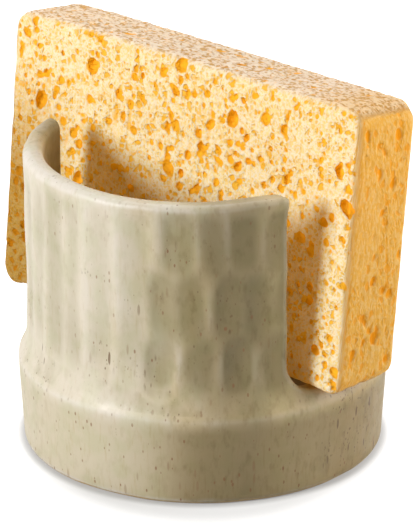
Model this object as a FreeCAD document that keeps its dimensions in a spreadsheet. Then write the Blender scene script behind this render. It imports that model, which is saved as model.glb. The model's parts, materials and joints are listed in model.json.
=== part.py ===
import FreeCAD, Part
import math
import os

import Sketcher

# A round stoneware sponge holder: a low dish with two fluted walls that stand face to face on its rim.
# A sponge drops into the slot between them, stands on the dish's rim and leans on the rear wall.
# The holder's axis is Z, the table is z = 0, the slot runs along X and the front wall is on the -Y side.

# Driving sizes in millimetres and degrees
SIZES = {
    # The fluted walls
    "wall_radius": 43.5,
    "wall_thickness": 4.9,
    "rim_height": 75.6,
    "lip_round": 2.3,
    # The dish: its shoulder stands out from the walls, and its band tapers in to the foot
    "shoulder_step": 2.1,
    "shoulder_height": 21.0,
    "shoulder_round": 3.0,
    "foot_inset": 1.2,
    "foot_round": 1.2,
    "floor_thickness": 8.0,
    "floor_corner": 5.0,
    # The sill that the sponge stands on, above the shoulder, and the end of the cove, above the sill
    "sill_rise": 4.3,
    "cove_rise": 3.7,
    # The slot: the rear wall's ends from the axis, the room before the sponge, and the heels of the walls
    "slot_rear": 18.5,
    "sponge_room": 6.5,
    "heel_radius": 4.0,
    "heel_edge": 0.4,
    # The flutes
    "flute_pitch": 10.0,
    "front_flutes": 14,
    "rear_flutes": 12,
    "flute_radius": 9.0,
    "flute_depth": 0.7,
    "flute_runout": 8.0,
    "flute_head_gap": 2.6,
    "flute_foot_gap": 2.2,
    # The sponge
    "sponge_length": 118.2,
    "sponge_thickness": 19.7,
    "sponge_height": 68.1,
    "sponge_corner": 5.0,
    "sponge_edge": 0.8,
    "sponge_lean": 5.7,
    "sponge_offset": -8.1,
    # The soft sponge stays this far from what it leans on
    "seat_gap": 0.3,
    # How far a cut runs past the face that it leaves through
    "cut_overrun": 1.0,
}

FULL_TURN = 360
FRONT = -1
REAR = 1


class Size:
    """A size of the sheet, or what is worked out from such sizes: its number and its formula."""

    def __init__(self, number, formula):
        self.number = number
        self.formula = formula

    def __add__(self, other):
        return joined(self, "+", other, self.number + plain(other))

    def __sub__(self, other):
        return joined(self, "-", other, self.number - plain(other))

    def __mul__(self, other):
        return joined(self, "*", other, self.number * plain(other))

    def __truediv__(self, other):
        return joined(self, "/", other, self.number / plain(other))

    def __neg__(self):
        return Size(-self.number, f"(-{self.formula})")


def plain(term):
    return term.number if isinstance(term, Size) else term


def joined(left, sign, right, number):
    text = right.formula if isinstance(right, Size) else str(right)
    return Size(number, f"({left.formula} {sign} {text})")


def square_root(term):
    return Size(math.sqrt(term.number), f"sqrt({term.formula})")


def sine(angle):
    return Size(math.sin(math.radians(angle.number)), f"sin({angle.formula} * 1 deg)")


def cosine(angle):
    return Size(math.cos(math.radians(angle.number)), f"cos({angle.formula} * 1 deg)")


doc = FreeCAD.newDocument("sponge_holder")
sheet = doc.addObject("Spreadsheet::Sheet", "Sizes")
for row, (name, number) in enumerate(SIZES.items(), start=1):
    sheet.set(f"A{row}", name)
    sheet.set(f"B{row}", str(number))
    sheet.setAlias(f"B{row}", name)
doc.recompute()


def size(name):
    return Size(float(sheet.get(name)), f"Sizes.{name}")


ZERO = Size(0.0, "0")
overrun = size("cut_overrun")

# Heights from the table, and radii from the axis
wall_radius = size("wall_radius")
bore_radius = wall_radius - size("wall_thickness")
shoulder_radius = wall_radius + size("shoulder_step")
shoulder_height = size("shoulder_height")
sill_height = shoulder_height + size("sill_rise")
cove_height = sill_height + size("cove_rise")
rim_height = size("rim_height")

# The shoulder rolls over and sweeps up into the wall as two arcs that turn alike, the roll and then the cove
sweep_height = cove_height - shoulder_height
sweep_radius = (sweep_height * sweep_height / size("shoulder_step") + size("shoulder_step")) / 2
cove_radius = sweep_radius - size("shoulder_round")
roll_part = size("shoulder_round") / sweep_radius
roll_end = (shoulder_radius - size("shoulder_step") * roll_part, shoulder_height + sweep_height * roll_part)
sill_drop = size("cove_rise")
sill_radius = wall_radius + cove_radius - square_root(cove_radius * cove_radius - sill_drop * sill_drop)

# The sponge's lowest corner, at its back, from the sill below it and the rear wall's lip behind it
lean = size("sponge_lean")
corner_drop = size("sponge_edge") * (cosine(lean) + sine(lean) - 1)
corner_height = sill_height + size("seat_gap") - corner_drop
lean_height = rim_height - size("lip_round") - corner_height
corner_depth = size("slot_rear") - size("seat_gap") / cosine(lean) - lean_height * sine(lean) / cosine(lean)

# The slot is cut to suit the sponge
slot_front = size("sponge_thickness") * cosine(lean) - corner_depth + size("sponge_room")


def origin_feature(body, role):
    return next(item for item in body.Origin.OriginFeatures if item.Role == role)


def new_body(label):
    body = doc.addObject("PartDesign::Body", label)
    body.Label = label
    return body


def new_sketch(body, name, plane):
    sketch = body.newObject("Sketcher::SketchObject", name)
    sketch.AttachmentSupport = [(origin_feature(body, plane), "")]
    sketch.MapMode = "FlatFace"
    return sketch


def bind(sketch, constraint, term):
    """Add a dimension to a sketch and tie it to the sheet."""
    index = sketch.addConstraint(constraint)
    sketch.setExpression(f"Constraints[{index}]", term.formula)


def arc_side(start, end, radius):
    """The arc of this radius that turns left on its way from start to end."""
    chord = end - start
    to_centre = math.sqrt(radius ** 2 - (chord.Length / 2) ** 2)
    across = FreeCAD.Vector(-chord.y, chord.x, 0).normalize()
    centre = (start + end) / 2 + across * to_centre
    first = math.atan2(start.y - centre.y, start.x - centre.x)
    last = math.atan2(end.y - centre.y, end.x - centre.x)
    circle = Part.Circle(centre, FreeCAD.Vector(0, 0, 1), radius)
    return Part.ArcOfCircle(circle, first, last)


def draw_outline(sketch, corners, left_arcs=None, right_arcs=None):
    """Draw a closed outline through the corners. An arc leaves the corners that are keys of the two
    arc tables, with the radius given there, and turns to that side."""
    left_arcs = left_arcs or {}
    right_arcs = right_arcs or {}
    points = [FreeCAD.Vector(across.number, up.number, 0) for across, up in corners]
    ends = []
    for index, start in enumerate(points):
        end = points[(index + 1) % len(points)]
        if index in left_arcs:
            side = sketch.addGeometry(arc_side(start, end, left_arcs[index].number))
            bind(sketch, Sketcher.Constraint("Radius", side, left_arcs[index].number), left_arcs[index])
            ends.append(((side, 1), (side, 2)))
        elif index in right_arcs:
            side = sketch.addGeometry(arc_side(end, start, right_arcs[index].number))
            bind(sketch, Sketcher.Constraint("Radius", side, right_arcs[index].number), right_arcs[index])
            ends.append(((side, 2), (side, 1)))
        else:
            side = sketch.addGeometry(Part.LineSegment(start, end))
            ends.append(((side, 1), (side, 2)))
    for index, (across, up) in enumerate(corners):
        start = ends[index][0]
        sketch.addConstraint(Sketcher.Constraint("Coincident", *ends[index - 1][1], *start))
        bind(sketch, Sketcher.Constraint("DistanceX", -1, 1, *start, across.number), across)
        bind(sketch, Sketcher.Constraint("DistanceY", -1, 1, *start, up.number), up)


def revolve(body, name, sketch):
    """Turn an outline about the holder's axis."""
    ring = body.newObject("PartDesign::Revolution", name)
    ring.Profile = sketch
    ring.ReferenceAxis = (sketch, ["V_Axis"])
    ring.Angle = FULL_TURN
    return ring


def make_base_dish():
    """The dish: a round floor, a band that swells to the shoulder, and the rim that forms the sill."""
    body = new_body("base_dish")
    foot_radius = shoulder_radius - size("foot_inset")
    foot_round = size("foot_round")
    floor = size("floor_thickness")
    floor_corner = size("floor_corner")
    corners = [
        (ZERO, ZERO),
        (foot_radius - foot_round, ZERO),
        (foot_radius, foot_round),
        (shoulder_radius, shoulder_height),
        roll_end,
        (sill_radius, sill_height),
        (bore_radius, sill_height),
        (bore_radius, floor + floor_corner),
        (bore_radius - floor_corner, floor),
        (ZERO, floor),
    ]
    sketch = new_sketch(body, "dish_section", "XZ_Plane")
    draw_outline(sketch, corners, {1: foot_round, 3: size("shoulder_round")}, {4: cove_radius, 7: floor_corner})
    revolve(body, "dish_turn", sketch)
    return body


def make_wall(label, side, slot_face, flute_count):
    """One wall: a sector of a thick ring with a rounded lip, cut off at the slot and fluted outside."""
    body = new_body(label)
    lip = size("lip_round")
    ring_corners = [
        (sill_radius, sill_height),
        (wall_radius, cove_height),
        (wall_radius, rim_height - lip),
        (wall_radius - lip, rim_height),
        (bore_radius + lip, rim_height),
        (bore_radius, rim_height - lip),
        (bore_radius, sill_height),
    ]
    ring_sketch = new_sketch(body, f"{label}_section", "XZ_Plane")
    draw_outline(ring_sketch, ring_corners, {2: lip, 4: lip}, {0: cove_radius})
    revolve(body, f"{label}_turn", ring_sketch)

    # The cut leaves a rounded heel at the foot of each end, with a low edge on the sill
    heel = size("heel_radius")
    heel_edge = size("heel_edge")
    heel_reach = heel - square_root(heel_edge * (heel * 2 - heel_edge))
    heel_face = slot_face - heel_reach
    far_face = -(shoulder_radius + overrun)
    cut_corners = [
        (slot_face * side, rim_height + overrun),
        (slot_face * side, sill_height + heel),
        (heel_face * side, sill_height + heel_edge),
        (heel_face * side, sill_height - overrun),
        (far_face * side, sill_height - overrun),
        (far_face * side, rim_height + overrun),
    ]
    cut_sketch = new_sketch(body, f"{label}_slot_section", "YZ_Plane")
    heel_arc = {1: heel}
    if side == FRONT:
        draw_outline(cut_sketch, cut_corners, left_arcs=heel_arc)
    else:
        draw_outline(cut_sketch, cut_corners, right_arcs=heel_arc)
    cut = body.newObject("PartDesign::Pocket", f"{label}_slot")
    cut.Profile = cut_sketch
    cut.SideType = "Symmetric"
    cut.setExpression("Length", ((shoulder_radius + overrun) * 2).formula)

    add_flutes(body, label, side, flute_count)
    return body


def add_flutes(body, label, side, flute_count):
    """Upright flutes that fade out below the lip and above the shoulder, evenly spaced along the wall."""
    flute_face = wall_radius - size("flute_depth")
    flute_axis = flute_face + size("flute_radius")
    relief_face = wall_radius + overrun
    relief = size("flute_depth") + overrun
    runout = size("flute_runout")
    runout_radius = (runout * runout / relief + relief) / 2
    head = rim_height - size("flute_head_gap")
    foot = sill_height + size("flute_foot_gap")
    corners = [
        (flute_axis, foot),
        (flute_axis, head),
        (relief_face, head),
        (flute_face, head - runout),
        (flute_face, foot + runout),
        (relief_face, foot),
    ]
    sketch = new_sketch(body, f"{label}_flute_section", "XZ_Plane")
    draw_outline(sketch, corners, right_arcs={2: runout_radius, 4: runout_radius})
    axis_line = Part.LineSegment(
        FreeCAD.Vector(flute_axis.number, foot.number, 0), FreeCAD.Vector(flute_axis.number, head.number, 0)
    )
    axis = sketch.addGeometry(axis_line, True)
    sketch.addConstraint(Sketcher.Constraint("Coincident", axis, 1, 0, 1))
    sketch.addConstraint(Sketcher.Constraint("Coincident", axis, 2, 0, 2))

    # The first flute is at one end of the row, which is centred on the middle of the wall
    pitch = size("flute_pitch")
    quarter_turn = FULL_TURN / 4
    first_angle = pitch * (flute_count - 1) * (-0.5) + side * quarter_turn
    about_axis = FreeCAD.Rotation(FreeCAD.Vector(0, 1, 0), first_angle.number)
    sketch.AttachmentOffset = FreeCAD.Placement(FreeCAD.Vector(), about_axis)
    sketch.setExpression("AttachmentOffset.Rotation.Angle", first_angle.formula)
    flute = body.newObject("PartDesign::Groove", f"{label}_flute")
    flute.Profile = sketch
    flute.ReferenceAxis = (sketch, ["Axis0"])
    flute.Angle = FULL_TURN
    row = body.newObject("PartDesign::PolarPattern", f"{label}_flutes")
    row.Originals = [flute]
    row.Axis = (origin_feature(body, "Z_Axis"), [""])
    row.Mode = "Spacing"
    row.setExpression("Offset", pitch.formula)
    row.setExpression("Occurrences", flute_count.formula)
    body.Tip = row


def broad_faces(shape):
    """The names of a slab's two largest faces."""
    by_area = sorted(enumerate(shape.Faces, start=1), key=lambda item: item[1].Area)
    return [f"Face{index}" for index, face in by_area[-2:]]


def make_sponge():
    """A slab with rounded corners and eased edges, drawn upright with its low back edge on the X axis."""
    body = new_body("sponge")
    half_length = size("sponge_length") / 2
    height = size("sponge_height")
    corner = size("sponge_corner")
    corners = [
        (corner - half_length, ZERO),
        (half_length - corner, ZERO),
        (half_length, corner),
        (half_length, height - corner),
        (half_length - corner, height),
        (corner - half_length, height),
        (-half_length, height - corner),
        (-half_length, corner),
    ]
    sketch = new_sketch(body, "sponge_outline", "XZ_Plane")
    draw_outline(sketch, corners, {1: corner, 3: corner, 5: corner, 7: corner})
    slab = body.newObject("PartDesign::Pad", "sponge_slab")
    slab.Profile = sketch
    slab.setExpression("Length", size("sponge_thickness").formula)
    doc.recompute()
    edges = body.newObject("PartDesign::Fillet", "sponge_edges")
    edges.Base = (slab, broad_faces(slab.Shape))
    edges.setExpression("Radius", size("sponge_edge").formula)
    backward = FreeCAD.Rotation(FreeCAD.Vector(-1, 0, 0), lean.number)
    seat = FreeCAD.Vector(size("sponge_offset").number, corner_depth.number, corner_height.number)
    body.Placement = FreeCAD.Placement(seat, backward)
    body.setExpression("Placement.Rotation.Angle", lean.formula)
    body.setExpression("Placement.Base.x", size("sponge_offset").formula)
    body.setExpression("Placement.Base.y", corner_depth.formula)
    body.setExpression("Placement.Base.z", corner_height.formula)
    return body


def write_parts(bodies):
    """Check that everything was built, then write one file for each piece."""
    doc.recompute()
    for item in doc.Objects:
        if "Invalid" in item.State or "Error" in item.State:
            raise RuntimeError(f"{item.Name} was not built: {item.State}")
    os.makedirs("parts", exist_ok=True)
    for body in bodies:
        shape = body.Shape
        if shape.isNull() or not shape.isValid() or len(shape.Solids) != 1:
            raise RuntimeError(f"{body.Label} is not one sound solid")
        box = shape.optimalBoundingBox(False)
        print(f"{body.Label}: {shape.Volume / 1000:.1f} cm3, x {box.XMin:.1f} to {box.XMax:.1f}, "
              f"y {box.YMin:.1f} to {box.YMax:.1f}, z {box.ZMin:.1f} to {box.ZMax:.1f}")
    for body in bodies:
        body.Shape.exportStep(f"parts/{body.Label}.step")


pieces = [
    make_base_dish(),
    make_wall("front_wall", FRONT, slot_front, size("front_flutes")),
    make_wall("rear_wall", REAR, size("slot_rear"), size("rear_flutes")),
    make_sponge(),
]
write_parts(pieces)
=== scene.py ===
import json
import math
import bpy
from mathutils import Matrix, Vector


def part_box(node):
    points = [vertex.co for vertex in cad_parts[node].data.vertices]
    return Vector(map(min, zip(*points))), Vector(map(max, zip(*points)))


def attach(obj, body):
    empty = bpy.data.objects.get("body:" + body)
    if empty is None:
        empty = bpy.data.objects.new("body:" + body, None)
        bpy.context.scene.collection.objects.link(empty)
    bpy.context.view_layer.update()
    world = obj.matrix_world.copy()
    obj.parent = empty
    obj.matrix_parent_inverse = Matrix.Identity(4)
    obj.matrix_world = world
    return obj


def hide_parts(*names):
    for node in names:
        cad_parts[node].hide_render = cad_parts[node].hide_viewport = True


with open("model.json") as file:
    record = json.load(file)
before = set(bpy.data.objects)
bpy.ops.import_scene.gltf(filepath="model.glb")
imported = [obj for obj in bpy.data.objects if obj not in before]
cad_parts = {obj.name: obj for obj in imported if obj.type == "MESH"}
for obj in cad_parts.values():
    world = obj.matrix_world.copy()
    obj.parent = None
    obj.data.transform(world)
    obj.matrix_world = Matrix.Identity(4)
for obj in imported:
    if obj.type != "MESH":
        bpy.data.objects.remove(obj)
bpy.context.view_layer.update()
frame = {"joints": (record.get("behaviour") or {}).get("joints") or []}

from types import SimpleNamespace

import bpy
import numpy as np
from mathutils import Vector

# A speckled stoneware sponge holder with a cellulose sponge standing in its slot.
# Shapes are worked out in millimetres in the part's frame, as fields that are negative inside,
# and turned into meshes in metres.
MM = 0.001


def box_in_mm(node):
    """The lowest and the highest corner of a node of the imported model."""
    return [np.array(corner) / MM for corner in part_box(node)]


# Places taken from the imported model
dish_high = box_in_mm("base_dish")[1]
front_high = box_in_mm("front_wall")[1]
rear_low = box_in_mm("rear_wall")[0]
sponge_low, sponge_high = box_in_mm("sponge")
lift_axis = np.array(frame["joints"][0]["axis"])

# The holder's form
SHOULDER_STEP = 2.1
SHOULDER_HEIGHT = 21.0
SHOULDER_ROUND = 3.0
COVE_RISE = 3.7
FOOT_INSET = 1.2
FOOT_ROUND = 1.2
WALL_THICKNESS = 4.9
FLOOR_HEIGHT = 8.0
FLOOR_CORNER = 5.0
LIP_ROUND = 1.8
LIP_ROUND_CHANGE = 0.6
SLOT_CORNER = 8.0
SLOT_EDGE_ROUND = 1.1
HEEL_REACH = 2.26

shoulder_radius = dish_high[0]
foot_radius = shoulder_radius - FOOT_INSET
wall_radius = shoulder_radius - SHOULDER_STEP
bore_radius = wall_radius - WALL_THICKNESS
sill_height = dish_high[2]
cove_height = sill_height + COVE_RISE
rim_height = front_high[2]
slot_front = front_high[1] - HEEL_REACH
slot_rear = rear_low[1] + HEEL_REACH

# Numbers that the field tools below work with
BLUR_REACH = 3
SETTLE_ROUNDS = 3
SETTLE_LEAST_SLOPE = 0.2


def round_max(first, second, radius):
    """Where both fields are negative, with the edge between them rounded off."""
    outer = np.hypot(np.maximum(first + radius, 0), np.maximum(second + radius, 0))
    return np.minimum(np.maximum(first, second), -radius) + outer


def smooth_step(value, low, high):
    """A share that eases from 0 at low to 1 at high."""
    share = np.clip((value - low) / (high - low), 0, 1)
    return share * share * (3 - 2 * share)


def blur(values, sigma, axis, wrap=False):
    """Gaussian blur of an array along one axis."""
    reach = max(1, int(BLUR_REACH * sigma))
    offsets = np.arange(-reach, reach + 1)
    weights = np.exp(-0.5 * (offsets / sigma) ** 2)
    weights /= weights.sum()
    padding = [(0, 0)] * values.ndim
    padding[axis] = (reach, reach)
    padded = np.pad(values, padding, mode="wrap" if wrap else "edge")
    count = values.shape[axis]
    total = np.zeros_like(values)
    for offset, weight in zip(offsets, weights):
        total += weight * np.take(padded, np.arange(reach + offset, reach + offset + count), axis=axis)
    return total


def grid_points(low, high, step):
    """The points of a grid that starts at one corner and reaches the other."""
    counts = [int(math.ceil((top - bottom) / step)) + 1 for bottom, top in zip(low, high)]
    axes = [bottom + step * np.arange(count) for bottom, count in zip(low, counts)]
    return np.stack(np.meshgrid(*axes, indexing="ij"), axis=-1)


def surface_net(field, low, step):
    """Vertices and quads of the zero surface of a field sampled on a grid."""
    inside = field < 0
    cells = tuple(count - 1 for count in field.shape)
    total = np.zeros(cells + (3,))
    number = np.zeros(cells)
    crossings = []
    for axis in range(3):
        here = [slice(None)] * 3
        there = [slice(None)] * 3
        here[axis] = slice(0, -1)
        there[axis] = slice(1, None)
        here, there = tuple(here), tuple(there)
        index = np.argwhere(inside[here] != inside[there])
        start = field[here][tuple(index.T)]
        end = field[there][tuple(index.T)]
        point = index.astype(float)
        point[:, axis] += start / (start - end)
        crossings.append((index, start < 0))
        first, second = [other for other in range(3) if other != axis]
        for back_first in (0, 1):
            for back_second in (0, 1):
                cell = index.copy()
                cell[:, first] -= back_first
                cell[:, second] -= back_second
                good = ((cell >= 0) & (cell < cells)).all(axis=1)
                place = tuple(cell[good].T)
                np.add.at(total, place, point[good])
                np.add.at(number, place, 1)
    names = np.full(cells, -1)
    used = number > 0
    names[used] = np.arange(used.sum())
    vertices = low + step * total[used] / number[used][:, None]
    quads = []
    for axis, (index, forward) in enumerate(crossings):
        first, second = (axis + 1) % 3, (axis + 2) % 3
        corners = []
        for back_first, back_second in ((1, 1), (0, 1), (0, 0), (1, 0)):
            cell = index.copy()
            cell[:, first] -= back_first
            cell[:, second] -= back_second
            corners.append(names[tuple(cell.T)])
        quad = np.stack(corners, axis=1)
        quad[~forward] = quad[~forward][:, ::-1]
        quads.append(quad)
    return vertices, np.concatenate(quads)


def gradient(points, field_at, probe):
    """The slope of a field at points."""
    parts = []
    for axis in range(3):
        shift = np.zeros(3)
        shift[axis] = probe
        parts.append((field_at(points + shift) - field_at(points - shift)) / (2 * probe))
    return np.stack(parts, axis=1)


def settle(vertices, field_at, probe):
    """Move vertices onto the zero surface of a field."""
    for _ in range(SETTLE_ROUNDS):
        slope = gradient(vertices, field_at, probe)
        value = field_at(vertices)
        steepness = np.maximum((slope ** 2).sum(axis=1), SETTLE_LEAST_SLOPE)
        vertices = vertices - slope * (value / steepness)[:, None]
    return vertices


def curvature(points, field_at, probe):
    """How sharply the surface bulges out, above 0, or dips in, below 0, per millimetre."""
    total = -6 * field_at(points)
    for axis in range(3):
        shift = np.zeros(3)
        shift[axis] = probe
        total += field_at(points + shift) + field_at(points - shift)
    return total / probe ** 2


def set_values(mesh, key, numbers):
    """Keep one number per vertex in a mesh, for its material."""
    layer = mesh.attributes.new(key, "FLOAT", "POINT")
    layer.data.foreach_set("value", numbers.astype(np.float32))


def new_mesh_object(name, vertices, quads, material):
    """A smooth-shaded mesh object."""
    mesh = bpy.data.meshes.new(name)
    mesh.vertices.add(len(vertices))
    mesh.vertices.foreach_set("co", (vertices * MM).ravel())
    mesh.loops.add(quads.size)
    mesh.loops.foreach_set("vertex_index", quads.ravel())
    mesh.polygons.add(len(quads))
    mesh.polygons.foreach_set("loop_start", np.arange(0, quads.size, 4))
    mesh.polygons.foreach_set("use_smooth", np.ones(len(quads), dtype=bool))
    mesh.update(calc_edges=True)
    mesh.validate()
    mesh.materials.append(material)
    piece = bpy.data.objects.new(name, mesh)
    bpy.context.scene.collection.objects.link(piece)
    return piece


# Flutes pressed by hand: each is an upright groove given by its angle from the middle of its wall.
# On the left they run the whole height, and on the right they come in three staggered rows
# that fade into each other.
FLUTE_ROWS = (
    # first angle, pitch, count, foot height, head height, depth
    (-61.7, 10.45, 9, 24.0, 75.5, 0.55),
    (36.9, 11.2, 4, 51.0, 75.5, 1.0),
    (31.6, 10.0, 5, 36.0, 64.0, 0.9),
    (31.0, 12.3, 4, 23.0, 47.0, 0.95),
)
WALL_ANGLES = (-90, 90)
FLUTE_HALF_WIDTH = 4.3
FLUTE_FULLNESS = 3
FLUTE_RUNOUT = 11.0
FLUTE_RIM_RUNOUT = 6.0
FLUTE_RIM_HEIGHT = 70.0
FLUTE_SEED = 5
FLUTE_ANGLE_JITTER = 0.8
FLUTE_FOOT_JITTER = 1.0
FLUTE_HEAD_JITTER = 0.4
FLUTE_LEAN_JITTER = 0.02
FLUTE_WIDTH_JITTER = 0.1
FLUTE_DEPTH_JITTER = 0.2
FLUTE_SWAY = 0.35
FLUTE_SWAY_LENGTH = 34.0
FLUTE_SWAY_START = 6.0
RELIEF_STEP = 0.3
RELIEF_BLUR = 0.8
RELIEF_EDGE = 1.001
HAND_RIPPLE = 0.1
HAND_RIPPLE_WIDTH = 5.0


def press_flute(random, angles, heights, middle, foot, head, depth):
    """Depth of one flute over the unrolled wall."""
    middle = middle + random.normal() * FLUTE_ANGLE_JITTER
    low = foot + random.normal() * FLUTE_FOOT_JITTER
    high = head + random.normal() * FLUTE_HEAD_JITTER
    path = random.normal() * FLUTE_LEAN_JITTER * (heights - (low + high) / 2)
    sway = heights / FLUTE_SWAY_LENGTH * 2 * math.pi + random.uniform(0, FLUTE_SWAY_START)
    path = path + FLUTE_SWAY * np.sin(sway)
    turn = (angles - middle + 180) % 360 - 180
    width = FLUTE_HALF_WIDTH * (1 + random.normal() * FLUTE_WIDTH_JITTER)
    across = np.clip((np.radians(turn) * wall_radius - path) / width, -1, 1)
    head_run = FLUTE_RIM_RUNOUT if head > FLUTE_RIM_HEIGHT else FLUTE_RUNOUT
    ends = smooth_step(heights, low, low + FLUTE_RUNOUT)
    ends = ends * (1 - smooth_step(heights, high - head_run, high))
    deep = depth * (1 + random.normal() * FLUTE_DEPTH_JITTER)
    return deep * ends * (1 - np.abs(across) ** FLUTE_FULLNESS)


def blur_map(values, width):
    """Blur a map of the unrolled wall over a width in millimetres."""
    steps = width / RELIEF_STEP
    return blur(blur(values, steps, 0, wrap=True), steps, 1)


def carve_relief():
    """Depth of the flutes over the unrolled wall: rows are angles all round, columns are heights."""
    random = np.random.default_rng(FLUTE_SEED)
    around = int(round(2 * math.pi * wall_radius / RELIEF_STEP))
    up = int(round(rim_height / RELIEF_STEP)) + 1
    angles = (np.arange(around) / around * 360 - 180)[:, None]
    heights = (np.arange(up) * RELIEF_STEP)[None, :]
    relief = np.zeros((around, up))
    for wall_angle in WALL_ANGLES:
        for first, pitch, count, foot, head, depth in FLUTE_ROWS:
            for step in range(count):
                middle = wall_angle + first + pitch * step
                flute = press_flute(random, angles, heights, middle, foot, head, depth)
                relief = np.maximum(relief, flute)
    ripple = blur_map(random.normal(size=relief.shape), HAND_RIPPLE_WIDTH)
    relief += HAND_RIPPLE * ripple / ripple.std()
    return np.maximum(blur_map(relief, RELIEF_BLUR), 0)


relief_map = carve_relief()


def relief_at(x, y, z):
    """The relief at points near the wall, between the map's samples."""
    rows, columns = relief_map.shape
    across = (np.degrees(np.arctan2(y, x)) + 180) / 360 * rows
    up = np.clip(z / RELIEF_STEP, 0, columns - RELIEF_EDGE)
    row = np.floor(across).astype(int)
    column = np.floor(up).astype(int)
    row_share = across - row
    column_share = up - column
    row_next = (row + 1) % rows
    row = row % rows
    low = relief_map[row, column] * (1 - row_share) + relief_map[row_next, column] * row_share
    high = relief_map[row, column + 1] * (1 - row_share) + relief_map[row_next, column + 1] * row_share
    return low * (1 - column_share) + high * column_share


def outer_radius(z):
    """The outside of the holder at a height: band, rolled shoulder, cove and wall."""
    sweep = cove_height - SHOULDER_HEIGHT
    sweep_radius = (sweep ** 2 / SHOULDER_STEP + SHOULDER_STEP) / 2
    cove_radius = sweep_radius - SHOULDER_ROUND
    roll_top = SHOULDER_HEIGHT + sweep * SHOULDER_ROUND / sweep_radius
    band = shoulder_radius - FOOT_INSET * (1 - np.clip(z / SHOULDER_HEIGHT, 0, 1))
    roll_rise = np.clip(z - SHOULDER_HEIGHT, 0, SHOULDER_ROUND)
    roll = shoulder_radius - SHOULDER_ROUND + np.sqrt(SHOULDER_ROUND ** 2 - roll_rise ** 2)
    cove_drop = np.clip(cove_height - z, 0, sweep)
    cove = wall_radius + cove_radius - np.sqrt(cove_radius ** 2 - cove_drop ** 2)
    return np.where(z < SHOULDER_HEIGHT, band, np.where(z < roll_top, roll, cove))


# The rim was trimmed by hand: it rises a little at the slot and wavers in between.
# Each wave has a count round the rim, a height and a phase.
RIM_WAVES = ((2, 0.16, 0.6), (3, 0.14, 2.1), (7, 0.05, 1.0))
RIM_END_CURL = 0.5
RIM_CURL_REACH = 6.0
RIM_SLACK = 0.45


def rim_at(x, y):
    """The height of the rim over a place."""
    turn = np.arctan2(y, x)
    rise = sum(high * np.sin(count * turn + phase) for count, high, phase in RIM_WAVES)
    curl = RIM_END_CURL * np.exp(-((np.abs(y) - slot_rear) / RIM_CURL_REACH) ** 2)
    return rim_height - RIM_SLACK + np.clip(rise + curl, -RIM_SLACK, RIM_SLACK)


def holder_field(points):
    """The whole glazed holder."""
    x, y, z = points[..., 0], points[..., 1], points[..., 2]
    radius = np.hypot(x, y)
    outside = radius - outer_radius(z) + relief_at(x, y, z)
    body = round_max(outside, -z, FOOT_ROUND)
    bore = round_max(radius - bore_radius, FLOOR_HEIGHT - z, FLOOR_CORNER)
    lip_round = LIP_ROUND - LIP_ROUND_CHANGE * np.clip(x / wall_radius, -1, 1)
    shell = round_max(round_max(body, z - rim_at(x, y), lip_round), -bore, lip_round)
    slot_sides = np.maximum(slot_front - y, y - slot_rear)
    slot = round_max(slot_sides, sill_height - z, SLOT_CORNER)
    return round_max(shell, -slot, SLOT_EDGE_ROUND)


HOLDER_STEP = 0.75
HOLDER_PROBE = 0.25
HOLDER_CURVE_PROBE = 1.1
HOLDER_MARGIN = 2.0
CARVED_SKIN = 2.0


def build_holder(material):
    """The holder as one mesh, which knows where it bulges and where it is carved."""
    reach = shoulder_radius + HOLDER_MARGIN
    low = np.array((-reach, -reach, -HOLDER_MARGIN))
    high = np.array((reach, reach, rim_height + HOLDER_MARGIN))
    field = holder_field(grid_points(low, high, HOLDER_STEP))
    vertices, quads = surface_net(field, low, HOLDER_STEP)
    vertices = settle(vertices, holder_field, HOLDER_PROBE)
    vertices[:, 2] = np.maximum(vertices[:, 2], 0)
    on_outside = np.hypot(vertices[:, 0], vertices[:, 1]) > wall_radius - CARVED_SKIN
    piece = new_mesh_object("glazed_holder", vertices, quads, material)
    set_values(piece.data, "bulge", curvature(vertices, holder_field, HOLDER_CURVE_PROBE))
    set_values(piece.data, "carved", relief_at(*vertices.T) * on_outside)
    return piece


# The sponge: a slab with rounded corners, full of cells that the cut faces open
SPONGE_CORNER = 5.0
SPONGE_EDGE = 2.0
SPONGE_STEP = 0.42
SPONGE_MARGIN = 1.5
SPONGE_SEED = 11
SPONGE_FACES = 195000
CAD_SPONGE_EDGE = 0.8
# Cells by size: smallest and largest radius, and how many open on each square centimetre
# of the ends, of the two broad faces, and of the long edges
CELL_KINDS = (
    (1.4, 2.3, (0.0, 0.3, 0.0)),
    (0.85, 1.3, (2.0, 2.4, 0.3)),
    (0.55, 0.85, (5.0, 9.0, 3.0)),
    (0.38, 0.55, (3.0, 14.0, 16.0)),
)
SQUARE_CM = 100
CELL_CLEARANCE = 0.85
CELL_STRETCH = 0.25
CELL_WAVER = 0.14
CELL_WAVER_STEPS = (1.0, 1.0, 1.0)
CELL_MARGIN = 2 * SPONGE_STEP
CELL_DEPTH_SHARES = (-0.15, 0.6)
CELL_FLATNESS = (0.32, 0.85, 0.55)
END_CELL_HEIGHT = 1.5
# The soft foot of the sponge lies flat on the sill, and its ends sag where nothing carries them:
# where each end starts to sag, where it ends and how far it drops
SAG_LEFT = (46.0, 67.0, 3.4)
SAG_RIGHT = (42.0, 52.0, 1.0)
SAG_TOP_SHARE = 0.15
FOOT_LAY_SHARE = 0.9
# Torn fibres leave the faces a little uneven, the ends less so
FUZZ = 0.12
FUZZ_SHARE = 0.5
FIBRE_SIZE = (0.42, 0.42, 1.4)
END_CALM = 0.65
END_CALM_REACH = 2.0
# How far one face's look runs into the next
FACE_BLEND = 1.5

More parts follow.
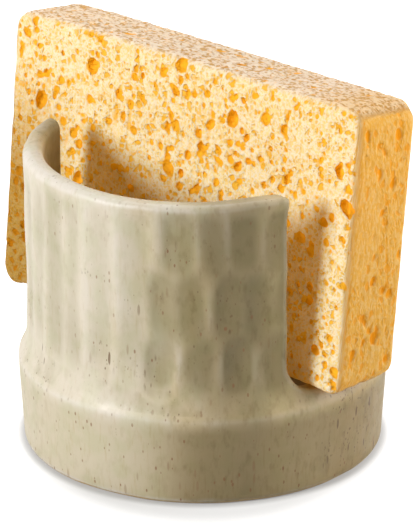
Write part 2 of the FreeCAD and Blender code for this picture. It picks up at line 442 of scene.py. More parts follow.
lean = math.atan2(lift_axis[1], lift_axis[2])
lean_spread = math.cos(lean) ** 2 - math.sin(lean) ** 2
sponge_centre = (sponge_low + sponge_high) / 2
sponge_extent = sponge_high - sponge_low - 2 * CAD_SPONGE_EDGE
inner_depth = (sponge_extent[1] * math.cos(lean) - sponge_extent[2] * math.sin(lean)) / lean_spread
inner_height = (sponge_extent[2] * math.cos(lean) - sponge_extent[1] * math.sin(lean)) / lean_spread
sponge_half = np.array((
    sponge_high[0] - sponge_low[0],
    inner_depth + 2 * CAD_SPONGE_EDGE,
    inner_height + 2 * CAD_SPONGE_EDGE,
)) / 2
sponge_turn = np.array((
    (1, 0, 0),
    (0, math.cos(lean), math.sin(lean)),
    (0, -math.sin(lean), math.cos(lean)),
))


def slab_field(points):
    """The uncut slab about the origin: its outline has rounded corners and its edges are nearly sharp."""
    across = np.abs(points[..., 0]) - sponge_half[0]
    up = np.abs(points[..., 2]) - sponge_half[2]
    outline = round_max(across, up, SPONGE_CORNER)
    return round_max(outline, np.abs(points[..., 1]) - sponge_half[1], SPONGE_EDGE)


def random_turn(random):
    """A random rotation."""
    basis, scale = np.linalg.qr(random.normal(size=(3, 3)))
    return basis * np.sign(np.diag(scale))


def scatter_cells(random):
    """Cells that open on the six faces and keep clear of each other.

    Gives their centres, their radii and the axis that each opens along."""
    centres = np.zeros((0, 3))
    radii = np.zeros(0)
    openings = []
    for smallest, largest, crowding in CELL_KINDS:
        for axis in range(3):
            sides = [other for other in range(3) if other != axis]
            area = 4 * np.prod(sponge_half[sides]) / SQUARE_CM
            for sign in (-1, 1):
                count = int(area * crowding[axis])
                radius = random.uniform(smallest, largest, count)
                centre = random.uniform(-1, 1, (count, 3)) * (sponge_half - radius[:, None])
                depth = random.uniform(*CELL_DEPTH_SHARES, count) * radius * CELL_FLATNESS[axis]
                centre[:, axis] = sign * (sponge_half[axis] - depth)
                for place, size in zip(centre, radius):
                    gap = np.linalg.norm(centres - place, axis=1)
                    if (gap > CELL_CLEARANCE * (radii + size)).all():
                        centres = np.vstack((centres, place))
                        radii = np.append(radii, size)
                        openings.append(axis)
    return centres, radii, openings


def rough_field(shape, widths, random):
    """Random numbers about 0 on a grid, smoothed over some steps along each axis, with a spread of 1."""
    values = random.normal(size=shape)
    for axis, width in enumerate(widths):
        values = blur(values, width, axis)
    return values / values.std()


def open_cells(field, low, cells, random):
    """Cut the cells, each a little stretched and uneven, out of a field sampled on a grid."""
    waver = CELL_WAVER * rough_field(field.shape, CELL_WAVER_STEPS, random)
    for centre, radius, axis in zip(*cells):
        stretch = np.exp(random.uniform(-CELL_STRETCH, CELL_STRETCH, 3))
        turn = random_turn(random)
        shape = np.ones(3)
        shape[axis] = CELL_FLATNESS[axis]
        if axis == 0:
            shape[2] = END_CELL_HEIGHT
        make_round = (turn / stretch) @ turn.T / shape
        reach = radius * stretch.max() * shape.max() + CELL_MARGIN
        first = np.maximum(np.floor((centre - reach - low) / SPONGE_STEP).astype(int), 0)
        last = np.minimum(np.ceil((centre + reach - low) / SPONGE_STEP).astype(int) + 1, field.shape)
        if (last <= first).any():
            continue
        spans = [low[side] + SPONGE_STEP * np.arange(first[side], last[side]) for side in range(3)]
        points = np.stack(np.meshgrid(*spans, indexing="ij"), axis=-1) - centre
        away = np.linalg.norm(points @ make_round.T, axis=-1)
        window = tuple(slice(start, end) for start, end in zip(first, last))
        cut = radius - away + waver[window] * min(1, radius)
        field[window] = np.maximum(field[window], cut)


def sag(local):
    """How far each point of the sponge hangs down, from its place in the slab's own frame."""
    along = local[:, 0] + sponge_centre[0]
    left_start, left_end, left_drop = SAG_LEFT
    right_start, right_end, right_drop = SAG_RIGHT
    drop = left_drop * smooth_step(-along, left_start, left_end)
    drop = drop + right_drop * smooth_step(along, right_start, right_end)
    front = (sponge_half[1] - local[:, 1]) / (2 * sponge_half[1])
    lay = FOOT_LAY_SHARE * front * 2 * sponge_half[1] * math.tan(lean)
    low = 1 - np.clip((local[:, 2] + sponge_half[2]) / (2 * sponge_half[2]), 0, 1)
    return drop * (SAG_TOP_SHARE + (1 - SAG_TOP_SHARE) * low) + lay * low ** 2


def thin_out(piece, faces):
    """Bring a piece down to about a number of triangles."""
    triangles = 2 * len(piece.data.polygons)
    thinner = piece.modifiers.new("thin_out", "DECIMATE")
    thinner.ratio = min(1, faces / triangles)
    shown = piece.evaluated_get(bpy.context.evaluated_depsgraph_get())
    mesh = bpy.data.meshes.new_from_object(shown)
    piece.modifiers.clear()
    old = piece.data
    piece.data = mesh
    bpy.data.meshes.remove(old)


def vertex_places(mesh):
    """A mesh's vertices in millimetres."""
    flat = np.empty(3 * len(mesh.vertices))
    mesh.vertices.foreach_get("co", flat)
    return flat.reshape(-1, 3) / MM


def sponge_block(random):
    """Vertices and quads of the sponge in its own frame, with its fibres and its open cells."""
    low = -sponge_half - SPONGE_MARGIN
    points = grid_points(low, -low, SPONGE_STEP)
    field = slab_field(points)
    fibres = rough_field(field.shape, np.array(FIBRE_SIZE) / SPONGE_STEP, random)
    near_ends = smooth_step(np.abs(points[..., 0]) - sponge_half[0], -END_CALM_REACH, 0)
    field += FUZZ * (1 - END_CALM * near_ends) * np.maximum(FUZZ_SHARE + fibres, 0)
    open_cells(field, low, scatter_cells(random), random)
    return surface_net(field, low, SPONGE_STEP)


def build_sponge(material):
    """The sponge as one mesh, which knows how deep each place lies and which face it is on."""
    vertices, quads = sponge_block(np.random.default_rng(SPONGE_SEED))
    piece = new_mesh_object("cellulose_sponge", vertices, quads, material)
    thin_out(piece, SPONGE_FACES)
    mesh = piece.data
    local = vertex_places(mesh)
    set_values(mesh, "depth", -slab_field(local))
    beyond = np.abs(local) - sponge_half
    ends = beyond[:, 0] - np.maximum(beyond[:, 1], beyond[:, 2])
    edges = beyond[:, 2] - np.maximum(beyond[:, 0], beyond[:, 1])
    set_values(mesh, "end_face", smooth_step(ends, -FACE_BLEND, FACE_BLEND))
    set_values(mesh, "long_edge", smooth_step(edges, -FACE_BLEND, FACE_BLEND))
    local[:, 2] -= sag(local)
    place = local @ sponge_turn.T + sponge_centre
    mesh.vertices.foreach_set("co", (place * MM).ravel())
    mesh.update()
    return piece


# Sockets of the mix node that hold colours
MIX_FIRST = 6
MIX_SECOND = 7
MIX_RESULT = 2
WHITE = (1, 1, 1, 1)


def new_material(name):
    """A material with nodes, its tree and its surface shader."""
    material = bpy.data.materials.new(name)
    material.use_nodes = True
    return material, material.node_tree, material.node_tree.nodes["Principled BSDF"]


def set_socket(tree, socket, value):
    """Set a socket to a value, or link it to another socket."""
    if isinstance(value, bpy.types.NodeSocket):
        tree.links.new(value, socket)
    else:
        socket.default_value = value


def add_node(tree, kind, sockets=None, **settings):
    """A shader node with its settings, and its sockets set to values or linked."""
    node = tree.nodes.new("ShaderNode" + kind)
    for key, value in settings.items():
        setattr(node, key, value)
    for key, value in (sockets or {}).items():
        set_socket(tree, node.inputs[key], value)
    return node


def compute(tree, operation, first, second):
    return add_node(tree, "Math", {0: first, 1: second}, operation=operation).outputs["Value"]


def add(tree, first, second):
    return compute(tree, "ADD", first, second)


def subtract(tree, first, second):
    return compute(tree, "SUBTRACT", first, second)


def multiply(tree, first, second):
    return compute(tree, "MULTIPLY", first, second)


def larger(tree, first, second):
    return compute(tree, "MAXIMUM", first, second)


def join_vectors(tree, operation, first, second):
    return add_node(tree, "VectorMath", {0: first, 1: second}, operation=operation).outputs["Vector"]


def vector_length(tree, vector):
    return add_node(tree, "VectorMath", {0: vector}, operation="LENGTH").outputs["Value"]


def remap(tree, value, low, high, to_low=0.0, to_high=1.0):
    """A value eased from one range to another."""
    sockets = {"Value": value, "From Min": low, "From Max": high, "To Min": to_low, "To Max": to_high}
    return add_node(tree, "MapRange", sockets, interpolation_type="SMOOTHSTEP").outputs["Result"]


def between(tree, share, at_none, at_full):
    """A number eased from one value to another as a share goes from 0 to 1."""
    return remap(tree, share, 0.0, 1.0, at_none, at_full)


def mix_colours(tree, share, first, second, blend="MIX"):
    node = add_node(tree, "Mix", {"Factor": share}, data_type="RGBA", blend_type=blend)
    set_socket(tree, node.inputs[MIX_FIRST], first)
    set_socket(tree, node.inputs[MIX_SECOND], second)
    return node.outputs[MIX_RESULT]


def stain(tree, share, colour, tint):
    """A colour darkened by a tint where a share says so."""
    return mix_colours(tree, share, colour, tint, "MULTIPLY")


def read_value(tree, key):
    return add_node(tree, "Attribute", attribute_name=key).outputs["Fac"]


def places_in_mm(tree, squeeze=(1, 1, 1)):
    """Places in the piece's own frame in millimetres, squeezed along each axis."""
    place = add_node(tree, "TexCoord").outputs["Object"]
    return join_vectors(tree, "MULTIPLY", place, tuple(share / MM for share in squeeze))


def noise(tree, places, width, detail=2.0):
    """Noise from 0 to 1 with features of a width in millimetres."""
    sockets = {"Vector": places, "Scale": 1 / width, "Detail": detail}
    return add_node(tree, "TexNoise", sockets).outputs["Fac"]


def dots(tree, places, spacing, least, most, softness):
    """Dots of random sizes, one or none for each spacing in millimetres."""
    cells = add_node(tree, "TexVoronoi", {"Vector": places, "Scale": 1 / spacing, "Randomness": 1.0})
    lot = add_node(tree, "SeparateColor", {"Color": cells.outputs["Color"]}).outputs["Red"]
    inside = subtract(tree, between(tree, lot, least, most), cells.outputs["Distance"])
    return remap(tree, inside, 0.0, softness)


def foam(tree, places, spacing, thin, thick):
    """A net of walls between small cells: 0 on a wall and 1 inside a cell, and a random number per cell."""
    sockets = {"Vector": places, "Scale": 1 / spacing, "Randomness": 1.0}
    edges = add_node(tree, "TexVoronoi", sockets, feature="DISTANCE_TO_EDGE").outputs["Distance"]
    colour = add_node(tree, "TexVoronoi", sockets).outputs["Color"]
    lot = add_node(tree, "SeparateColor", {"Color": colour}).outputs["Red"]
    walls = remap(tree, edges, thick / spacing, thin / spacing)
    return subtract(tree, 1.0, walls), lot


def add_bump(tree, shader, height, distance, strength):
    """Raise the surface by a height from 0 to 1 times a distance in millimetres."""
    sockets = {"Height": height, "Distance": distance * MM, "Strength": strength}
    bump = add_node(tree, "Bump", sockets)
    tree.links.new(bump.outputs["Normal"], shader.inputs["Normal"])


# Glaze colours: the first two are paints, the first of them painted light for the lit side, and so are the
# thin glaze, which also carries a painted highlight, the specks and the bare clay.
# The others are tints that darken what lies under them; the shade tint and the low shade tint are painted
# shade.
GLAZE_LIT = (0.615, 0.55, 0.44, 1)
GLAZE_OLIVE = (0.49, 0.386, 0.209, 1)
GLAZE_POOL = (0.63, 0.62, 0.52, 1)
GLAZE_THIN_HIGHLIGHT = (0.71, 0.665, 0.62, 1)
GLAZE_BAND_LIT = (0.88, 0.86, 0.78, 1)
GLAZE_BAND_OLIVE = (0.68, 0.65, 0.575, 1)
GLAZE_LOW_SHADE = (0.82, 0.76, 0.64, 1)
GLAZE_STREAK = (0.86, 0.79, 0.66, 1)
GLAZE_SHADE = (0.67, 0.665, 0.67, 1)
GLAZE_GREEN = (0.92, 0.95, 0.88, 1)
GLAZE_SMUDGE = (0.76, 0.72, 0.63, 1)
SPECK_RUST = (0.20, 0.085, 0.03, 1)
SPECK_DARK = (0.11, 0.055, 0.014, 1)
BARE_CLAY = (0.50, 0.35, 0.17, 1)
# Where each colour shows: ranges of the side that the wall faces, of height, of how it is carved
# or bulges, and the width and detail of each noise
# The side that the lamps light most: the glaze is painted paler towards it, as painted light
LIT_SIDE = math.radians(-8)
LIT_FACING = (0.5, 0.95)
CLOUD_SQUEEZE = (1, 1, 0.3)
CLOUD_NOISE = (9.0, 3.0)
CLOUD_MIDDLE = 0.5
CLOUD_WAVER = 0.6
CARVED_WAVER = 0.5
BAND_EDGE = (SHOULDER_HEIGHT + 1, SHOULDER_HEIGHT - 3)
BAND_FACING = (0.6, 0.97)
# Painted shade on the wall and the band where they turn away from the lit side
WALL_SHADE_START = (0.74, 0.5)
WALL_SHADE_END = (0.22, 0.38)
BAND_SHADE_START = (0.82, 0.6, 0.0, 0.74)
BAND_SHADE_END = (0.2, 0.45)
POOL_CARVED = (0.12, 0.7)
POOL_BULGE = (-0.02, -0.25)
POOL_SHARES = (1.0, 0.72)
CREST_CARVED = (0.12, -0.1)
CREST_HEIGHT = (cove_height, cove_height + 6)
CREST_SHARE = 0.7
THIN_HIGHLIGHT_BULGE = (0.1, 0.6)
THIN_HIGHLIGHT_SHARES = (0.14, 0.5)
GREEN_NOISE = (6.0, 3.0)
GREEN_RANGE = (0.4, 0.65)
LOW_SHADE_HEIGHT = (27.0, 22.0)
LOW_SHADE_FACING = (0.05, -0.25)
STREAK_SQUEEZE = (1, 1, 0.13)
STREAK_NOISE = (0.7, 3.0)
STREAK_RANGE = (0.52, 0.75)
STREAK_SHARES = (0.35, 0.55)
SMUDGE_SQUEEZE = (1, 1, 0.5)
SMUDGE_NOISE = (1.8, 5.0)
SMUDGE_RANGE = (0.5, 0.72)
SMUDGE_SHARES = (0.75, 0.3)
BARE_EDGE = (1.4, 1.0)
MOTTLE_NOISE = (2.5, 3.0)
MOTTLE_ROUGHNESS = (0.2, 0.8, 0.42, 0.56)
MOTTLE_BUMP = (0.12, 0.4)
# Iron specks: how far they are drawn out upright, their spacing, their least and largest radius as shares
# of it, how strongly they show, their colour, and whether they keep to the crowded places
SPECK_KINDS = (
    (2.0, 1.2, -0.28, 0.29, 0.8, SPECK_RUST, False),
    (4.5, 1.7, -0.4, 0.26, 0.4, SPECK_RUST, False),
    (1.7, 1.6, -0.4, 0.22, 0.9, SPECK_DARK, True),
    (1.6, 0.7, -0.6, 0.36, 0.7, SPECK_DARK, True),
    (4.0, 1.5, -0.22, 0.33, 1.0, SPECK_DARK, True),
)
SPECK_SOFTNESS = 0.12
CROWD_WIDTH = 9.0
CROWD_FACING = (0.2, -0.4, 0.0, 0.5)
CROWD_BULGE = (0.0, -0.2, 0.0, 0.25)
CROWD_BAND = 0.2
SPARSE_RANGE = (0.35, 0.75, 0.2, 1.0)
CROWDED_RANGE = (0.55, 0.85)


def glaze_marks(tree):
    """What the glaze follows at each place: height, facing, bulge, carving, the lit side that is painted
    paler, and the low band.
    """
    places = places_in_mm(tree)
    height = add_node(tree, "SeparateXYZ", {"Vector": places}).outputs["Z"]
    cloud = noise(tree, places_in_mm(tree, CLOUD_SQUEEZE), *CLOUD_NOISE)
    waver = multiply(tree, subtract(tree, cloud, CLOUD_MIDDLE), CLOUD_WAVER)
    lit_way = (math.sin(LIT_SIDE) / wall_radius, -math.cos(LIT_SIDE) / wall_radius, 0)
    facing = add_node(tree, "VectorMath", {0: places, 1: lit_way}, operation="DOT_PRODUCT").outputs["Value"]
    return SimpleNamespace(
        places=places,
        height=height,
        cloud=cloud,
        facing=facing,
        bulge=add(tree, read_value(tree, "bulge"), waver),
        carved=add(tree, read_value(tree, "carved"), multiply(tree, waver, CARVED_WAVER)),
        pale=remap(tree, add(tree, facing, waver), *LIT_FACING),
        band=remap(tree, height, *BAND_EDGE),
    )


def glaze_ground(tree, marks):
    """Pale glaze painted on the lit side as painted light and olive on the other, duller on the band, with
    painted shade where the wall turns away.
    """
    colour = mix_colours(tree, marks.pale, GLAZE_OLIVE, GLAZE_LIT)
    band_lit = remap(tree, marks.facing, *BAND_FACING)
    band_tint = mix_colours(tree, band_lit, GLAZE_BAND_OLIVE, GLAZE_BAND_LIT)
    band_colour = mix_colours(tree, band_lit, GLAZE_OLIVE, GLAZE_LIT)
    colour = mix_colours(tree, marks.band, colour, stain(tree, 1.0, band_colour, band_tint))
    wall_start = remap(tree, marks.facing, *WALL_SHADE_START)
    wall_shade = multiply(tree, wall_start, remap(tree, marks.facing, *WALL_SHADE_END))
    band_start = remap(tree, marks.facing, *BAND_SHADE_START)
    band_shade = multiply(tree, band_start, remap(tree, marks.facing, *BAND_SHADE_END))
    shade = add_node(tree, "Mix", {"Factor": marks.band, "A": wall_shade, "B": band_shade}).outputs["Result"]
    return stain(tree, shade, colour, GLAZE_SHADE)


def pool_and_thin_highlight(tree, marks, colour):
    """Glaze that pools in the flutes and corners, and runs thin over crests and edges, paler there as thin
    glaze and as a painted highlight, more so on the lit side.
    """
    pool = larger(tree, remap(tree, marks.carved, *POOL_CARVED), remap(tree, marks.bulge, *POOL_BULGE))
    pool = multiply(tree, pool, between(tree, marks.pale, *POOL_SHARES))
    colour = stain(tree, pool, colour, GLAZE_POOL)
    on_wall = remap(tree, marks.height, *CREST_HEIGHT)
    crest = multiply(tree, remap(tree, marks.carved, *CREST_CARVED), on_wall)
    # Thin glaze and a painted highlight on bulges and crests
    thin = larger(tree, remap(tree, marks.bulge, *THIN_HIGHLIGHT_BULGE), multiply(tree, crest, CREST_SHARE))
    thin = multiply(tree, thin, between(tree, marks.pale, *THIN_HIGHLIGHT_SHARES))
    return mix_colours(tree, thin, colour, GLAZE_THIN_HIGHLIGHT)


def kiln_marks_and_low_shade(tree, marks, colour):
    """Greener clouds, a browner far side low down that is painted shade with orange bounce light, upright
    streaks and smudges.
    """
    green = remap(tree, noise(tree, marks.places, *GREEN_NOISE), *GREEN_RANGE)
    colour = stain(tree, green, colour, GLAZE_GREEN)
    # Painted shade with orange bounce light: browner low down on the far side, by the sill
    low_down = remap(tree, marks.height, *LOW_SHADE_HEIGHT)
    brown = multiply(tree, low_down, remap(tree, marks.facing, *LOW_SHADE_FACING))
    colour = stain(tree, brown, colour, GLAZE_LOW_SHADE)
    streak = remap(tree, noise(tree, places_in_mm(tree, STREAK_SQUEEZE), *STREAK_NOISE), *STREAK_RANGE)
    streak = multiply(tree, streak, between(tree, marks.band, *STREAK_SHARES))
    colour = stain(tree, streak, colour, GLAZE_STREAK)
    smudge = remap(tree, noise(tree, places_in_mm(tree, SMUDGE_SQUEEZE), *SMUDGE_NOISE), *SMUDGE_RANGE)
    smudge = multiply(tree, smudge, between(tree, marks.pale, *SMUDGE_SHARES))
    return stain(tree, smudge, colour, GLAZE_SMUDGE)


def iron_specks(tree, marks, colour):
    """Specks of five kinds, which crowd on the far side and in the corners."""
    crowd = add(tree, noise(tree, marks.places, CROWD_WIDTH), remap(tree, marks.facing, *CROWD_FACING))
    crowd = add(tree, crowd, remap(tree, marks.bulge, *CROWD_BULGE))
    sparse = remap(tree, add(tree, crowd, multiply(tree, marks.band, CROWD_BAND)), *SPARSE_RANGE)
    crowded = remap(tree, crowd, *CROWDED_RANGE)
    for drawn_out, spacing, least, most, strength, speck, in_crowds in SPECK_KINDS:
        places = places_in_mm(tree, (1, 1, 1 / drawn_out))
        spots = dots(tree, places, spacing, least, most, SPECK_SOFTNESS)
        room = crowded if in_crowds else sparse
        share = multiply(tree, spots, multiply(tree, room, strength))
        colour = mix_colours(tree, share, colour, speck)
    return colour


def glaze_material():
    """Satin glaze: pale where it runs thin over edges, with a painted highlight there, paler on the lit side
    as painted light, greener where it pools, with brown iron specks.
    """
    material, tree, shader = new_material("speckled_glaze")
    marks = glaze_marks(tree)
    colour = glaze_ground(tree, marks)
    colour = pool_and_thin_highlight(tree, marks, colour)
    colour = kiln_marks_and_low_shade(tree, marks, colour)
    colour = iron_specks(tree, marks, colour)
    bare = remap(tree, add(tree, marks.height, marks.cloud), *BARE_EDGE)
    colour = mix_colours(tree, bare, colour, BARE_CLAY)
    tree.links.new(colour, shader.inputs["Base Color"])
    mottle = noise(tree, marks.places, *MOTTLE_NOISE)
    tree.links.new(remap(tree, mottle, *MOTTLE_ROUGHNESS), shader.inputs["Roughness"])
    add_bump(tree, shader, mottle, *MOTTLE_BUMP)
    return material


# Cellulose colours: the end, left shade and right tan ones are tints; the end tints and the left shade are
# painted shade, and the deepest cell colour is painted shade with bounce light
STRUT_CREAM = (0.95, 0.85, 0.42, 1)
STRUT_WHITE = (0.95, 0.97, 0.76, 1)
CELL_GOLD = (1.0, 0.57, 0.06, 1)
CELL_SHADE_ORANGE = (1.0, 0.52, 0.03, 1)
CELL_PALE = (0.95, 0.67, 0.13, 1)
END_SHADE_DARK = (0.85, 0.54, 0.19, 1)
END_SHADE_PALE = (0.93, 0.675, 0.35, 1)
GRIT_PALE = (0.92, 0.97, 0.90, 1)
GRIT_TAN = (0.44, 0.28, 0.11, 1)
LEFT_SHADE_TAN = (0.42, 0.31, 0.14, 1)
RIGHT_TAN = (0.90, 0.80, 0.62, 1)
THROUGH_ORANGE = (1.0, 0.65, 0.06, 1)
THROUGH_SHARE = 0.33
SPONGE_ROUGHNESS = 0.85
SPONGE_SPECULAR = 0.2
# The patterns: the width and detail of each noise, the ranges that count, and for each foam
# the spacing of its cells and its thinnest and thickest walls
END_SQUEEZE = (1.0, 0.65)
WARP_NOISE_WIDTH = 0.9
WARP_DETAIL = 2.0
WARP_REACH = 0.5
GRAIN_NOISE = (0.6, 5.0)
STRUT_RANGE = (0.42, 0.55)
PATCH_WIDTH = 6.0
PATCH_OPEN = (0.35, 0.65, 0.45, 1.0)
WIDE_FOAM = (1.7, 0.12, 0.34)
WIDE_OPEN = (0.7, 0.85)
FINE_FOAM = (1.05, 0.1, 0.28)
FINE_OPEN = (0.15, 0.6)
GRIT_SQUEEZE = (0.7, 1, 1)
GRIT_NOISE = (0.85, 3.0)
GRIT_RANGE = (0.37, 0.53)
GRIT_SHARE = 0.85
FAINT_END_SHARE = 0.4
FAINT_CELLS = (1.0, 0.2)
DEEP_SHADE_RANGE = (0.2, 0.5)
END_STREAK_SQUEEZE = (1, 1, 0.2)
END_STREAK_NOISE = (0.6, 3.0)
END_STREAK_RANGE = (0.36, 0.62)
# Painted shade on the left end of the sponge, darker low down
LEFT_SHADE_NOISE = (11.0, 3.0)
LEFT_SHADE_MIDDLE = 0.5
LEFT_SHADE_WAVER = 16.0
LEFT_SHADE_ALONG = (-36.0, -61.0)
LEFT_SHADE_HEIGHT = (88.0, 48.0)
RIGHT_TAN_ALONG = (28.0, 48.0)
END_GRAIN = (1.0, 0.3)
END_RELIEF = (1.0, 0.45)
SPONGE_BUMP = (0.28, 0.9)


def sponge_places(tree, straight, ends):
    """Places in the foam, drawn out upright on the ends and warped a little."""
    squeeze = between(tree, ends, *END_SQUEEZE)
    stretch = add_node(tree, "CombineXYZ", {"X": 1.0, "Y": 1.0, "Z": squeeze}).outputs["Vector"]
    places = join_vectors(tree, "MULTIPLY", straight, stretch)
    sockets = {"Vector": places, "Scale": 1 / WARP_NOISE_WIDTH, "Detail": WARP_DETAIL}
    drift = add_node(tree, "TexNoise", sockets).outputs["Color"]
    drift = join_vectors(tree, "MULTIPLY", drift, (WARP_REACH,) * 3)
    return join_vectors(tree, "ADD", places, drift)


def sponge_marks(tree):
    """What the cellulose follows at each place: the face it is on, its grain, its grit and its cells."""
    ends = read_value(tree, "end_face")
    edges = read_value(tree, "long_edge")
    straight = places_in_mm(tree)
    places = sponge_places(tree, straight, ends)
    wide_cells, wide_lot = foam(tree, places, *WIDE_FOAM)
    fine_cells, fine_lot = foam(tree, places, *FINE_FOAM)
    patch = remap(tree, noise(tree, places, PATCH_WIDTH), *PATCH_OPEN)
    faint = between(tree, larger(tree, edges, multiply(tree, ends, FAINT_END_SHARE)), *FAINT_CELLS)
    wide_cells = multiply(tree, wide_cells, remap(tree, wide_lot, *WIDE_OPEN))
    fine_cells = multiply(tree, fine_cells, remap(tree, fine_lot, *FINE_OPEN))
    grit = noise(tree, places_in_mm(tree, GRIT_SQUEEZE), *GRIT_NOISE)
    return SimpleNamespace(
        ends=ends,
        edges=edges,
        straight=straight,
        grain=noise(tree, places, *GRAIN_NOISE),
        grit=remap(tree, grit, *GRIT_RANGE),
        wide_cells=multiply(tree, wide_cells, faint),
        fine_cells=multiply(tree, fine_cells, multiply(tree, patch, faint)),
    )


def foam_colour(tree, marks):
    """Pale struts, gritty on the long edges, round golden cells with painted shade deep in them, and streaks
    with painted shade and a painted orange glow on the ends.
    """
    struts = mix_colours(tree, remap(tree, marks.grain, *STRUT_RANGE), STRUT_CREAM, STRUT_WHITE)
    grit = mix_colours(tree, marks.grit, GRIT_TAN, GRIT_PALE)
    colour = mix_colours(tree, multiply(tree, marks.edges, GRIT_SHARE), struts, grit)
    colour = mix_colours(tree, marks.fine_cells, colour, CELL_PALE)
    colour = mix_colours(tree, marks.wide_cells, colour, CELL_GOLD)
    # Painted shade and orange bounce light deep in the cells
    deep = remap(tree, read_value(tree, "depth"), *DEEP_SHADE_RANGE)
    colour = mix_colours(tree, deep, colour, CELL_SHADE_ORANGE)
    # Painted shade and a painted orange glow of light let through, on the ends
    streaks = noise(tree, places_in_mm(tree, END_STREAK_SQUEEZE), *END_STREAK_NOISE)
    end_shade = mix_colours(tree, remap(tree, streaks, *END_STREAK_RANGE), END_SHADE_DARK, END_SHADE_PALE)
    return stain(tree, marks.ends, colour, end_shade)


def left_shade_and_right_tan(tree, marks, colour):
    """Painted shade on the left end, darker low down, and long edges that are browner towards the right."""
    spot = add_node(tree, "SeparateXYZ", {"Vector": marks.straight}).outputs
    waver = subtract(tree, noise(tree, marks.straight, *LEFT_SHADE_NOISE), LEFT_SHADE_MIDDLE)
    along = add(tree, spot["X"], multiply(tree, waver, LEFT_SHADE_WAVER))
    left_shade = multiply(tree, remap(tree, along, *LEFT_SHADE_ALONG), remap(tree, spot["Z"], *LEFT_SHADE_HEIGHT))
    colour = stain(tree, left_shade, colour, LEFT_SHADE_TAN)
    # The long edges are made darker and browner towards the right
    right_tan = multiply(tree, marks.edges, remap(tree, spot["X"], *RIGHT_TAN_ALONG))
    return stain(tree, right_tan, colour, RIGHT_TAN)


def sponge_relief(tree, marks):
    """How far grain and grit stand up and small cells sink in, less so on the ends."""
    raised = multiply(tree, marks.grain, between(tree, marks.ends, *END_GRAIN))
    raised = add(tree, raised, multiply(tree, marks.grit, marks.edges))
    relief = subtract(tree, raised, add(tree, marks.fine_cells, marks.wide_cells))
    return multiply(tree, relief, between(tree, marks.ends, *END_RELIEF))


def sponge_material():
    """Cellulose: a net of pale grainy struts round orange cells of many sizes, which lets light through."""
    material, tree, shader = new_material("cellulose")
    marks = sponge_marks(tree)
    colour = left_shade_and_right_tan(tree, marks, foam_colour(tree, marks))
    tree.links.new(colour, shader.inputs["Base Color"])
    shader.inputs["Roughness"].default_value = SPONGE_ROUGHNESS
    shader.inputs["Specular IOR Level"].default_value = SPONGE_SPECULAR
    through = add_node(tree, "BsdfTranslucent", {"Color": THROUGH_ORANGE}).outputs["BSDF"]
    surface = add_node(tree, "MixShader", {"Fac": THROUGH_SHARE, 1: shader.outputs["BSDF"], 2: through})
    tree.links.new(surface.outputs["Shader"], tree.nodes["Material Output"].inputs["Surface"])
    add_bump(tree, shader, sponge_relief(tree, marks), *SPONGE_BUMP)
    return material


# The photograph's frame and the camera that matches it
FRAME_HEIGHT = 523
CAMERA_AZIMUTH = math.radians(44.72)
CAMERA_ELEVATION = math.radians(21.88)
CAMERA_DISTANCE = 800.0
FOCAL_PIXELS = 3258.0
SENSOR = 36.0
CLIP_END = 100
AIM_HEIGHT = 40.0
AIM_RIGHT = 1.28
AIM_UP = 4.25


def way_to(azimuth, elevation):
    """The direction of a place that is seen at an angle from the front and one from the floor."""
    level = math.cos(elevation)
    return Vector((math.sin(azimuth) * level, -math.cos(azimuth) * level, math.sin(elevation)))


def place_camera():
    right = Vector((math.cos(CAMERA_AZIMUTH), math.sin(CAMERA_AZIMUTH), 0))
    back = way_to(CAMERA_AZIMUTH, CAMERA_ELEVATION)
    up = back.cross(right)
    middle = Vector((0, 0, AIM_HEIGHT))
    eye = middle + back * CAMERA_DISTANCE
    aim = middle + right * AIM_RIGHT + up * AIM_UP
    camera = bpy.data.objects.new("camera", bpy.data.cameras.new("camera"))
    camera.data.sensor_width = SENSOR
    camera.data.lens = FOCAL_PIXELS * SENSOR / FRAME_HEIGHT
    camera.data.clip_end = CLIP_END
    camera.location = eye * MM
    camera.rotation_euler = (aim - eye).to_track_quat("-Z", "Y").to_euler()
    bpy.context.scene.collection.objects.link(camera)
    bpy.context.scene.camera = camera


# Softboxes: name, angle from the front, angle from the floor, distance and size in metres,
# and the share of plain full light that each gives
SOFTBOXES = (
    ("key_light", -12, 21, 1.0, (0.32, 0.32), 1.08),
    ("left_light", -95, 22, 1.0, (0.7, 0.9), 0.07),
    ("right_light", 135, 22, 1.2, (0.8, 0.9), 1.1),
    ("top_light", -140, 62, 1.1, (0.8, 0.8), 0.42),
)
SOFTBOX_AIM = Vector((0, 0, 0.05))
UNIT_POWER = math.pi ** 2
WORLD_SHARE = 0.06
WORLD_WARM = (1, 0.77, 0.36, 1)


def add_softbox(name, turn, rise, distance, size, share):
    lamp = bpy.data.lights.new(name, "AREA")
    lamp.shape = "RECTANGLE"
    lamp.size, lamp.size_y = size
    lamp.energy = share * UNIT_POWER * distance ** 2
    way = way_to(math.radians(turn), math.radians(rise))
    box = bpy.data.objects.new(name, lamp)
    box.location = SOFTBOX_AIM + way * distance
    box.rotation_euler = (-way).to_track_quat("-Z", "Y").to_euler()
    bpy.context.scene.collection.objects.link(box)


def seen_directly(tree):
    """1 for camera, mirrored and transmitted rays, which see the white surroundings as such."""
    path = add_node(tree, "LightPath").outputs
    clear = larger(tree, path["Is Glossy Ray"], path["Is Transmission Ray"])
    return larger(tree, path["Is Camera Ray"], clear)


def light_stage():
    """The softboxes, and surroundings that look white and give a little warm light."""
    for softbox in SOFTBOXES:
        add_softbox(*softbox)
    world = bpy.data.worlds.new("studio")
    bpy.context.scene.world = world
    world.use_nodes = True
    tree = world.node_tree
    seen = seen_directly(tree)
    strength = add_node(tree, "MapRange", {"Value": seen, "To Min": WORLD_SHARE, "To Max": 1.0})
    backdrop = tree.nodes["Background"]
    tree.links.new(mix_colours(tree, seen, WORLD_WARM, WHITE), backdrop.inputs["Color"])
    tree.links.new(strength.outputs["Result"], backdrop.inputs["Strength"])
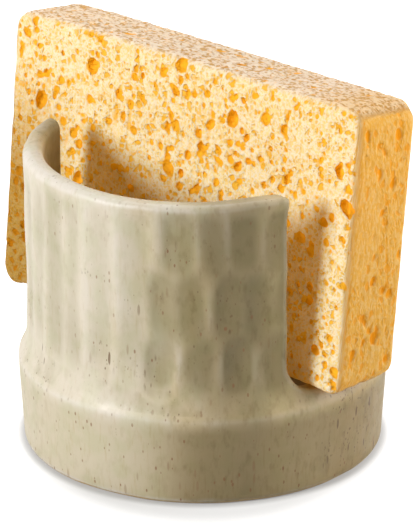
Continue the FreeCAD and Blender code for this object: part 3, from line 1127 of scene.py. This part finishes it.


# The table: its reach in metres, and its glow by distance from the object in millimetres, dimmed near the
# object as painted shadow
FLOOR_REACH = 4.0
FLOOR_CORNERS = ((-1, -1), (1, -1), (1, 1), (-1, 1))
FLOOR_COLOUR = (0.4, 0.4, 0.4, 1)
FLOOR_ROUGHNESS = 0.9
FLOOR_GLOW_NEAR = 0.47
FLOOR_GLOW_FAR = 0.95
GLOW_START = 39.0
GLOW_END = 49.0
GLOW_TURN = math.radians(-45)
GLOW_SQUEEZE = (1, 0.8, 1)
CONTACT_SHADOW_REACH = 2.6
CONTACT_SHADOW_GLOW = 0.45


def floor_material():
    """Plain white, lightened where it is seen directly, which keeps the object's shadow, with a painted
    shadow where the glow is dimmed near the object.
    """
    material, tree, shader = new_material("white_table")
    shader.inputs["Base Color"].default_value = FLOOR_COLOUR
    shader.inputs["Roughness"].default_value = FLOOR_ROUGHNESS
    shader.inputs["Specular IOR Level"].default_value = 0.0
    shader.inputs["Emission Color"].default_value = WHITE
    places = places_in_mm(tree)
    turned = {"Vector": places, "Angle": GLOW_TURN}
    turned = add_node(tree, "VectorRotate", turned, rotation_type="Z_AXIS").outputs["Vector"]
    away = vector_length(tree, join_vectors(tree, "MULTIPLY", turned, GLOW_SQUEEZE))
    # Painted shadow: the glow is lower near the object, reaching further along the diagonal to the front
    # right and back left
    glow = remap(tree, away, GLOW_START, GLOW_END, FLOOR_GLOW_NEAR, FLOOR_GLOW_FAR)
    near = vector_length(tree, places)
    # Painted contact shadow right round the foot
    contact_shadow = remap(tree, near, foot_radius, foot_radius + CONTACT_SHADOW_REACH, CONTACT_SHADOW_GLOW, 1.0)
    glow = multiply(tree, multiply(tree, seen_directly(tree), contact_shadow), glow)
    tree.links.new(glow, shader.inputs["Emission Strength"])
    return material


def build_floor():
    mesh = bpy.data.meshes.new("floor")
    corners = [(x * FLOOR_REACH, y * FLOOR_REACH, 0) for x, y in FLOOR_CORNERS]
    mesh.from_pydata(corners, [], [(0, 1, 2, 3)])
    mesh.materials.append(floor_material())
    floor = bpy.data.objects.new("floor", mesh)
    bpy.context.scene.collection.objects.link(floor)


holder = build_holder(glaze_material())
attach(holder, "holder")
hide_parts("base_dish", "front_wall", "rear_wall")

sponge = build_sponge(sponge_material())
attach(sponge, "sponge")
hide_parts("sponge")

build_floor()
light_stage()
place_camera()
bpy.context.scene.view_settings.view_transform = "Standard"
